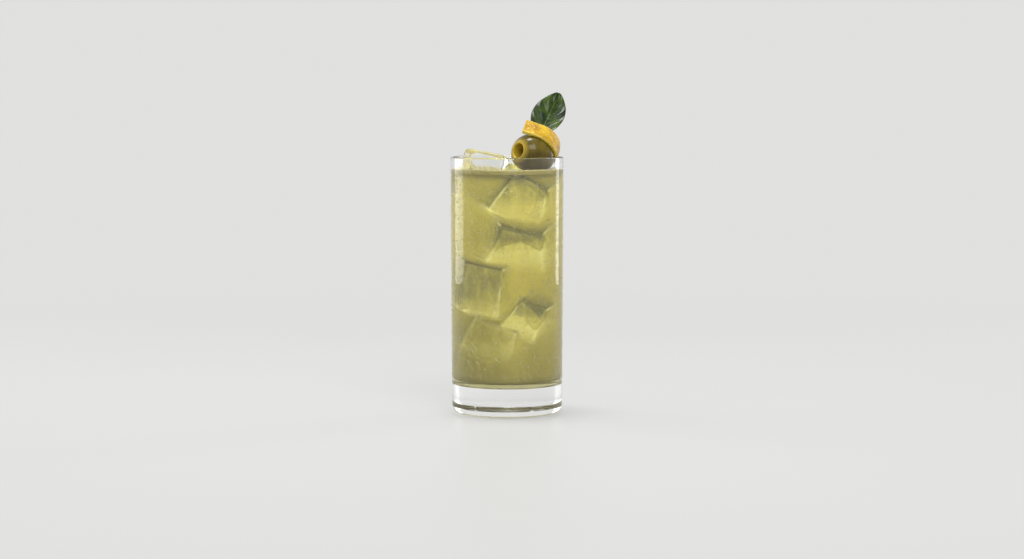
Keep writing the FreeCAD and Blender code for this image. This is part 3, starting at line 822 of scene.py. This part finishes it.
def make_cloud():
    """The cloudy body, with a shallow dent and the ice's painted shade, light and edge glints
    wherever a block thins the cloud.
    """
    low, high = FLOOR + CLOUD_ABOVE_FLOOR, LEVEL - CLOUD_BELOW_LEVEL
    heights = np.linspace(low, high, CLOUD_ROWS)
    turns = np.linspace(0, 2 * math.pi, CLOUD_COLUMNS, endpoint=False)
    around = np.stack((np.cos(turns), np.sin(turns), np.zeros(CLOUD_COLUMNS)), axis=-1)
    under_rounding = np.maximum(FLOOR_ROUNDING - (heights - low), 0)
    corner = FLOOR_ROUNDING - np.sqrt(np.maximum(FLOOR_ROUNDING ** 2 - under_rounding ** 2, 0))
    radius = inside_radius(heights) - CLOUD_INSET - corner
    skin = around[None, :, :] * radius[:, None, None]
    skin[:, :, 2] = heights[:, None]
    inward = np.broadcast_to(-around, skin.shape)
    starts, directions = [skin.reshape(-1, 3)], [inward.reshape(-1, 3)]
    for ring in range(1, CLOUD_RINGS):
        starts.append(around * radius[-1] * (1 - ring / CLOUD_RINGS) + np.array([0, 0, high]))
        directions.append(np.broadcast_to((0, 0, -1.0), around.shape))
    starts.append(np.array([[0, 0, high], [0, 0, low]]))
    directions.append(np.array([[0, 0, -1.0], [0, 0, 1.0]]))
    starts, directions = np.concatenate(starts), np.concatenate(directions)
    clear, pale, edge = soft_look_into_ice(starts, directions)
    points = starts + directions * (CLOUD_DENT * clear)[:, None]
    faces = []
    bands = CLOUD_ROWS + CLOUD_RINGS - 1
    top, bottom = bands * CLOUD_COLUMNS, bands * CLOUD_COLUMNS + 1
    for column in range(CLOUD_COLUMNS):
        after = (column + 1) % CLOUD_COLUMNS
        for band in range(bands - 1):
            here, above = band * CLOUD_COLUMNS, (band + 1) * CLOUD_COLUMNS
            faces.append((here + column, here + after, above + after, above + column))
        last = (bands - 1) * CLOUD_COLUMNS
        faces.append((last + column, last + after, top))
        faces.append((after, column, bottom))
    mesh = mesh_from("drink_cloud", points, faces)
    # how clearly ice shows, its painted shade and light, and its painted edge glints
    for name, values in (("ice_clear", clear), ("ice_pale", pale), ("ice_edge", edge)):
        write_attribute(mesh, name, values)
    return new_piece("drink_cloud", mesh)


# --- ice ---
def melt(piece, seed):
    """Even the block's faces and let its skin sink unevenly, as ice does in a drink."""
    remesh(piece, ICE_VOXEL, ICE_SMOOTHING)
    mesh = piece.data
    points, normals = points_of(mesh), normals_of(mesh)
    shift = Vector([seed * step for step in MELT_SHIFT])
    sink = [noise.noise(Vector(point) * MELT_SCALE + shift) * 0.5 + 0.5 for point in points]
    move_points(mesh, points - normals * np.array(sink)[:, None] * ICE_MELT)
    return piece


def ice_block(name, centre, size, turn, seed):
    """A rounded block of ice under the surface, pressed back where it would touch the wall."""
    build = bmesh.new()
    bmesh.ops.create_cube(build, size=1.0)
    bmesh.ops.scale(build, vec=[side * MM for side in size], verts=build.verts)
    bmesh.ops.bevel(build, geom=build.edges[:], offset=ICE_ROUNDING, segments=4, profile=0.5,
                    affect="EDGES")
    mesh = bpy.data.meshes.new(name)
    build.to_mesh(mesh)
    build.free()
    mesh.transform(Matrix.Translation(Vector(centre) * MM) @ turn_matrix(*turn))
    block = melt(new_piece(name, mesh), seed)
    points = points_of(block.data)
    reach = np.hypot(points[:, 0], points[:, 1])
    room = inside_radius(points[:, 2]) - ICE_OFF_WALL
    points[:, :2] *= np.minimum(1, room / np.maximum(reach, MM))[:, None]
    move_points(block.data, points)
    return block


# --- froth, bubbles and dew ---
def make_froth(ice):
    """An uneven ring of froth, thicker where it clings to the glass, with open water inside."""
    top, bottom = LEVEL + FROTH_TOP, LEVEL - FROTH_THICKNESS / 2
    edge = LEVEL_RADIUS + INTO_WALL / 2
    outline = [(0, bottom), (edge - FROTH_TAPER, bottom), (edge, bottom - FROTH_HANG)]
    outline += [(edge - away, top + climb) for away, climb in FROTH_CLIMB] + [(0, top)]
    film = new_piece("froth_film", lathe("froth_film", outline))
    low, high = LEVEL - OPEN_WATER_REACH, LEVEL + OPEN_WATER_REACH
    open_water = new_piece("open_water", lathe("open_water", [
        (0, low), (OPEN_WATER, low), (OPEN_WATER, high), (0, high)]))
    points = points_of(open_water.data)
    shore = [1 + SHORE_UNEVENNESS * noise.noise(Vector((x, y, 0)) * SHORE_SCALE)
             for x, y, _ in points]
    points[:, :2] *= np.array(shore)[:, None]
    move_points(open_water.data, points)
    cavities = [swell(block, FROTH_OFF_ICE, "cavity") for block in ice] + [open_water]
    cavities.append(node_copy("olive", "olive_cavity"))
    cut(film, cavities)
    remove(cavities)
    remesh(film, FROTH_VOXEL, FROTH_SMOOTHING)
    points = points_of(film.data)
    upper = points[:, 2] > LEVEL
    lift = np.array([noise.noise(Vector(point) * FROTH_SCALE) for point in points])
    points[upper, 2] += lift[upper] * FROTH_UNEVENNESS
    move_points(film.data, points)
    return film


def scatter_tree(name, material, flatness):
    """Geometry nodes that stand many small rounded beads on a skin."""
    tree = bpy.data.node_groups.new(name, "GeometryNodeTree")
    tree.interface.new_socket(name="Skin", in_out="INPUT", socket_type="NodeSocketGeometry")
    for title in ("Beads per square metre", "Smallest radius", "Largest radius", "Most are small"):
        tree.interface.new_socket(name=title, in_out="INPUT", socket_type="NodeSocketFloat")
    tree.interface.new_socket(name="Seed", in_out="INPUT", socket_type="NodeSocketInt")
    tree.interface.new_socket(name="Beads", in_out="OUTPUT", socket_type="NodeSocketGeometry")

    def join(source, socket, target, name):
        """Join an output of one node to an input of another."""
        tree.links.new(source.outputs[socket], target.inputs[name])

    given, result, spread, chance, power, radius, bead, flatten, stand, real, smooth, paint = [
        tree.nodes.new(kind) for kind in (
            "NodeGroupInput", "NodeGroupOutput", "GeometryNodeDistributePointsOnFaces",
            "FunctionNodeRandomValue", "ShaderNodeMath", "ShaderNodeMapRange",
            "GeometryNodeMeshUVSphere", "GeometryNodeTransform", "GeometryNodeInstanceOnPoints",
            "GeometryNodeRealizeInstances", "GeometryNodeSetShadeSmooth",
            "GeometryNodeSetMaterial")]
    join(given, "Skin", spread, "Mesh")
    join(given, "Beads per square metre", spread, "Density")
    join(given, "Seed", spread, "Seed")
    # a chance between 0 and 1, raised to a power, picks each bead's radius
    chance.data_type = "FLOAT"
    join(given, "Seed", chance, "Seed")
    power.operation = "POWER"
    join(chance, CHANCE_AS_FLOAT, power, 0)
    join(given, "Most are small", power, 1)
    join(power, "Value", radius, "Value")
    join(given, "Smallest radius", radius, "To Min")
    join(given, "Largest radius", radius, "To Max")
    bead.inputs["Radius"].default_value = 1.0
    bead.inputs["Segments"].default_value = BEAD_SEGMENTS
    bead.inputs["Rings"].default_value = BEAD_RINGS
    flatten.inputs["Scale"].default_value = (1, 1, flatness)
    join(bead, "Mesh", flatten, "Geometry")
    join(spread, "Points", stand, "Points")
    join(flatten, "Geometry", stand, "Instance")
    join(spread, "Rotation", stand, "Rotation")
    join(radius, "Result", stand, "Scale")
    join(stand, "Instances", real, "Geometry")
    join(real, "Geometry", smooth, "Geometry")
    paint.inputs["Material"].default_value = material
    join(smooth, "Geometry", paint, "Geometry")
    join(paint, "Geometry", result, "Beads")
    return tree


def scatter(name, skin, material, flatness, sizes):
    """Stand beads on a skin and keep only the beads, as one plain mesh."""
    piece = new_piece(name, skin)
    modifier = piece.modifiers.new("beads", "NODES")
    tree = scatter_tree(name, material, flatness)
    modifier.node_group = tree
    sockets = {item.name.replace(" ", "_"): item.identifier for item in tree.interface.items_tree
               if item.in_out == "INPUT"}
    for title, value in sizes.items():
        modifier[sockets[title]] = value
    return settle(piece)


def wall_skin(name, low, high, low_radius, high_radius):
    """A band of the glass's wall, open at both ends."""
    points, faces = [], []
    for step in range(ROUND_STEPS):
        angle = 2 * math.pi * step / ROUND_STEPS
        points.append((low_radius * math.cos(angle), low_radius * math.sin(angle), low))
        points.append((high_radius * math.cos(angle), high_radius * math.sin(angle), high))
    for step in range(ROUND_STEPS):
        here, after = 2 * step, 2 * ((step + 1) % ROUND_STEPS)
        faces.append((here, after, after + 1, here + 1))
    return mesh_from(name, points, faces)


def outside_radius(height):
    """The glass's outside wall at a height."""
    return FOOT_RADIUS + (RIM_RADIUS - FOOT_RADIUS) * height / GLASS_HIGH.z


def make_dew():
    """Condensation on the outside of the glass, from the drink's floor to its level."""
    high = LEVEL - DEW_BELOW_LEVEL
    skin = wall_skin("dew", DEW_FROM, high, outside_radius(DEW_FROM), outside_radius(high))
    water = water_finish("dew_water", ior=1.33, tint=(0.93, 0.92, 0.74, 1), clearness=0.86)
    dew = scatter("dew", skin, water, DEW_FLATNESS, DEW)
    keep_in_box(dew)
    return dew


def keep_in_box(piece):
    """Flatten what would stand outside the part's own box."""
    points = points_of(piece.data)
    reach = np.array([GLASS_HIGH.x, GLASS_HIGH.y])
    points[:, :2] = np.clip(points[:, :2], -reach, reach)
    move_points(piece.data, points)


def make_fizz():
    """Small bubbles that cling to the inside of the wall."""
    low, high = FLOOR + FIZZ_ABOVE_FLOOR, LEVEL - FIZZ_BELOW_LEVEL
    skin = wall_skin("fizz", low, high, inside_radius(low) - FIZZ_OFF_WALL,
                     inside_radius(high) - FIZZ_OFF_WALL)
    air = water_finish("fizz_air", ior=1.12, tint=(1, 0.98, 0.8, 1), clearness=0.85)
    return scatter("fizz", skin, air, 1.0, FIZZ)


def make_froth_bubbles():
    """Larger bubbles along the wall, at the drink's edge."""
    radius = LEVEL_RADIUS - FROTH_BUBBLES_OFF_WALL
    skin = wall_skin("froth_bubbles", LEVEL + FROTH_BUBBLES_FROM, LEVEL + FROTH_BUBBLES_TO,
                     radius, radius)
    film = water_finish("froth_bubble_film", ior=1.2, tint=(1, 1, 0.93, 1), clearness=0.7)
    return scatter("froth_bubbles", skin, film, FROTH_BUBBLE_FLATNESS, FROTH_BUBBLES)


# --- garnish ---
def make_peel():
    """The band of peel, evened out, with a mark of where pith shows."""
    peel = node_copy("lemon_peel", "peel_band")
    remesh(peel, PEEL_VOXEL, PEEL_SMOOTHING)
    mesh = peel.data
    back = RING_PLACE.inverted()
    local = np.array([back @ Vector(point) for point in points_of(mesh)])
    from_edge = np.minimum(local[:, 0], PEEL_WIDTH - local[:, 0])
    outward = np.array([RING_PLACE.to_3x3() @ Vector((0, y, z)) for y, z in local[:, 1:]])
    outward /= np.linalg.norm(outward, axis=1)[:, None]
    faces_out = (normals_of(mesh) * outward).sum(axis=1)
    pith = 1 - smoothstep(*PITH_TURN, faces_out)
    at_edge = PITH_AT_EDGE * (1 - smoothstep(*PITH_ALONG_EDGE, from_edge))
    write_attribute(mesh, "pith", np.maximum(pith, at_edge))
    return peel


def leaf_width_share(along):
    """How wide the leaf is at a place along it, as a share of its greatest width."""
    peak = WIDTH_RISE / (WIDTH_RISE + WIDTH_FALL)
    return (along / peak) ** WIDTH_RISE * ((1 - along) / (1 - peak)) ** WIDTH_FALL


def leaf_veins(along, across):
    """How strongly a vein shows at a place of the blade: 1 on a rib, 0 between."""
    midrib = 1 - smoothstep(*MIDRIB_SIDE, across)
    wave = np.abs(np.sin(math.pi * VEIN_PAIRS * (along - VEIN_SWEEP * across)))
    side = (1 - smoothstep(*VEIN_SIDE, wave)) * (1 - smoothstep(*VEIN_END, across))
    return np.maximum(MIDRIB_STRENGTH * midrib, VEIN_STRENGTH * side)


def make_leaf():
    """The basil leaf: two quilted halves folded along the midrib, with fine side veins."""
    along = np.linspace(LEAF_FROM, LEAF_TO, LEAF_ROWS)[:, None]
    signed = np.linspace(-1, 1, 2 * LEAF_POINTS + 1)[None, :]
    across = np.abs(signed)
    reach = LEAF_HALF_WIDTH * leaf_width_share(along) * across
    swell_wave = np.sin(math.pi * VEIN_PAIRS * (along - VEIN_SWEEP * across)) ** 2
    quilting = BLADE_QUILTING * LEAF_QUILTING * swell_wave * 4 * across * (1 - across)
    forward = reach * math.sin(LEAF_FOLD) * (1 - LEAF_CUP * across) + quilting
    veins = leaf_veins(along + 0 * signed, across + 0 * along)
    depth = LEAF_ARCH * 4 * along * (1 - along) - forward + VEIN_HEIGHT * veins
    width = np.sign(signed) * reach * math.cos(LEAF_FOLD)
    height = LEAF_LENGTH * along + 0 * signed
    points = np.stack((width, depth, height), axis=-1).reshape(-1, 3)
    columns = 2 * LEAF_POINTS + 1
    faces = []
    for row in range(LEAF_ROWS - 1):
        for column in range(columns - 1):
            corner = row * columns + column
            faces.append((corner, corner + 1, corner + columns + 1, corner + columns))
    mesh = mesh_from("basil_blade", points, faces)
    write_attribute(mesh, "veins", veins.ravel())
    foot = RING_PLACE @ Vector((LEAF_TUCK, LEAF_SEAT_REACH * math.cos(LEAF_SEAT_ANGLE),
                                LEAF_SEAT_REACH * math.sin(LEAF_SEAT_ANGLE)))
    mesh.transform(Matrix.Translation(foot) @ turn_matrix(*LEAF_TURN))
    leaf = new_piece("basil_blade", mesh)
    solid = leaf.modifiers.new("blade", "SOLIDIFY")
    solid.thickness = LEAF_THICKNESS * BLADE_SHARE
    solid.offset = 0.0
    return settle(leaf)


# --- the studio ---
def make_floor():
    """A wide thin disc whose top is level with the drink's foot."""
    outline = [(0, -FLOOR_THICKNESS), (FLOOR_REACH, -FLOOR_THICKNESS), (FLOOR_REACH, 0.0), (0, 0.0)]
    floor = new_piece("studio_floor", lathe("studio_floor", outline, FLOOR_STEPS))
    shade(floor.data, False)
    floor.data.materials.append(floor_finish())


def aimed(name, data, place, aim):
    """A lamp or a camera at a place, turned towards what it's aimed at."""
    holder = bpy.data.objects.new(name, data)
    bpy.context.scene.collection.objects.link(holder)
    holder.location = place
    holder.rotation_euler = (Vector(aim) - Vector(place)).to_track_quat("-Z", "Y").to_euler()
    return holder


def soft_lamp(name, place, aim, wide, tall, power):
    """A rectangular studio lamp."""
    lamp = bpy.data.lights.new(name, "AREA")
    lamp.shape = "RECTANGLE"
    lamp.size = wide
    lamp.size_y = tall
    lamp.energy = power
    aimed(name, lamp, place, aim)


def round_the_drink(angle, distance, height):
    """A place beside the drink: the angle turns from the camera's side towards -X."""
    turn = math.radians(angle)
    return (-distance * math.sin(turn), -distance * math.cos(turn), height)


def light_the_studio():
    """Two strips that draw bright lines down the glass, a lamp above and a broad one in front."""
    soft_lamp("left_strip", round_the_drink(angle=117, distance=0.9, height=0.5), STRIP_AIM,
              wide=0.5, tall=1.0, power=3.0)
    soft_lamp("right_strip", round_the_drink(angle=-126, distance=0.9, height=0.5), STRIP_AIM,
              wide=0.2, tall=1.0, power=1.6)
    soft_lamp("top_box", (-0.05, 0.05, 1.1), DRINK_MIDDLE, wide=0.25, tall=0.25, power=4.2)
    soft_lamp("front_fill", (0.4, -1.7, 1.7), DRINK_MIDDLE, wide=1.2, tall=1.2, power=23.0)
    world = bpy.data.worlds.new("studio")
    bpy.context.scene.world = world
    world.use_nodes = True
    nodes, links = world.node_tree.nodes, world.node_tree.links
    nodes.clear()
    choice = nodes.new("ShaderNodeMixShader")
    links.new(seen_directly(world.node_tree).outputs["Value"], choice.inputs["Fac"])
    for socket, colour in ((1, SURROUNDINGS), (2, BACKDROP)):
        light = nodes.new("ShaderNodeBackground")
        light.inputs["Color"].default_value = colour
        links.new(light.outputs["Background"], choice.inputs[socket])
    output = nodes.new("ShaderNodeOutputWorld")
    links.new(choice.outputs["Shader"], output.inputs["Surface"])


def set_up_camera():
    """A camera a little above the drink, which looks slightly down on it."""
    camera = bpy.data.cameras.new("camera")
    camera.lens = CAMERA_LENS
    bpy.context.scene.camera = aimed("camera", camera, CAMERA_PLACE, CAMERA_AIM)


def finish_piece(piece, material):
    """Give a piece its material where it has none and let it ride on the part."""
    if material:
        piece.data.materials.clear()
        piece.data.materials.append(material)
    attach(piece, BODY)


def repaint(node, material):
    """Give a node that keeps the part's own mesh its material."""
    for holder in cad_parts[node].material_slots:
        holder.material = material


# --- put it together ---
bpy.context.scene.view_settings.view_transform = "Standard"
set_up_camera()
make_floor()
light_the_studio()

clear_ice = ice_finish()
ice = []
for count, (node, *_) in enumerate(TOP_ICE):
    block = melt(node_copy(node, node.replace("cube", "block")), count)
    finish_piece(block, clear_ice)
    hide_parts(node)
    ice.append(block)
for count, (name, centre, size, turn) in enumerate(SUNK_ICE, start=len(TOP_ICE)):
    block = ice_block(f"sunk_ice_{name}", centre, size, turn, count)
    finish_piece(block, clear_ice)
    ice.append(block)

liquid = make_liquid(ice)
finish_piece(liquid, liquid_finish())
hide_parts("drink")
finish_piece(make_cloud(), cloud_finish())
finish_piece(make_froth(ice[:len(TOP_ICE)]), froth_finish())
finish_piece(make_froth_bubbles(), None)
finish_piece(make_fizz(), None)
finish_piece(make_dew(), None)

peel = make_peel()
finish_piece(peel, peel_finish())
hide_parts("lemon_peel")
leaf = make_leaf()
finish_piece(leaf, leaf_finish())
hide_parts("basil_leaf")
repaint("glass", glass_finish())
repaint("olive", olive_finish())
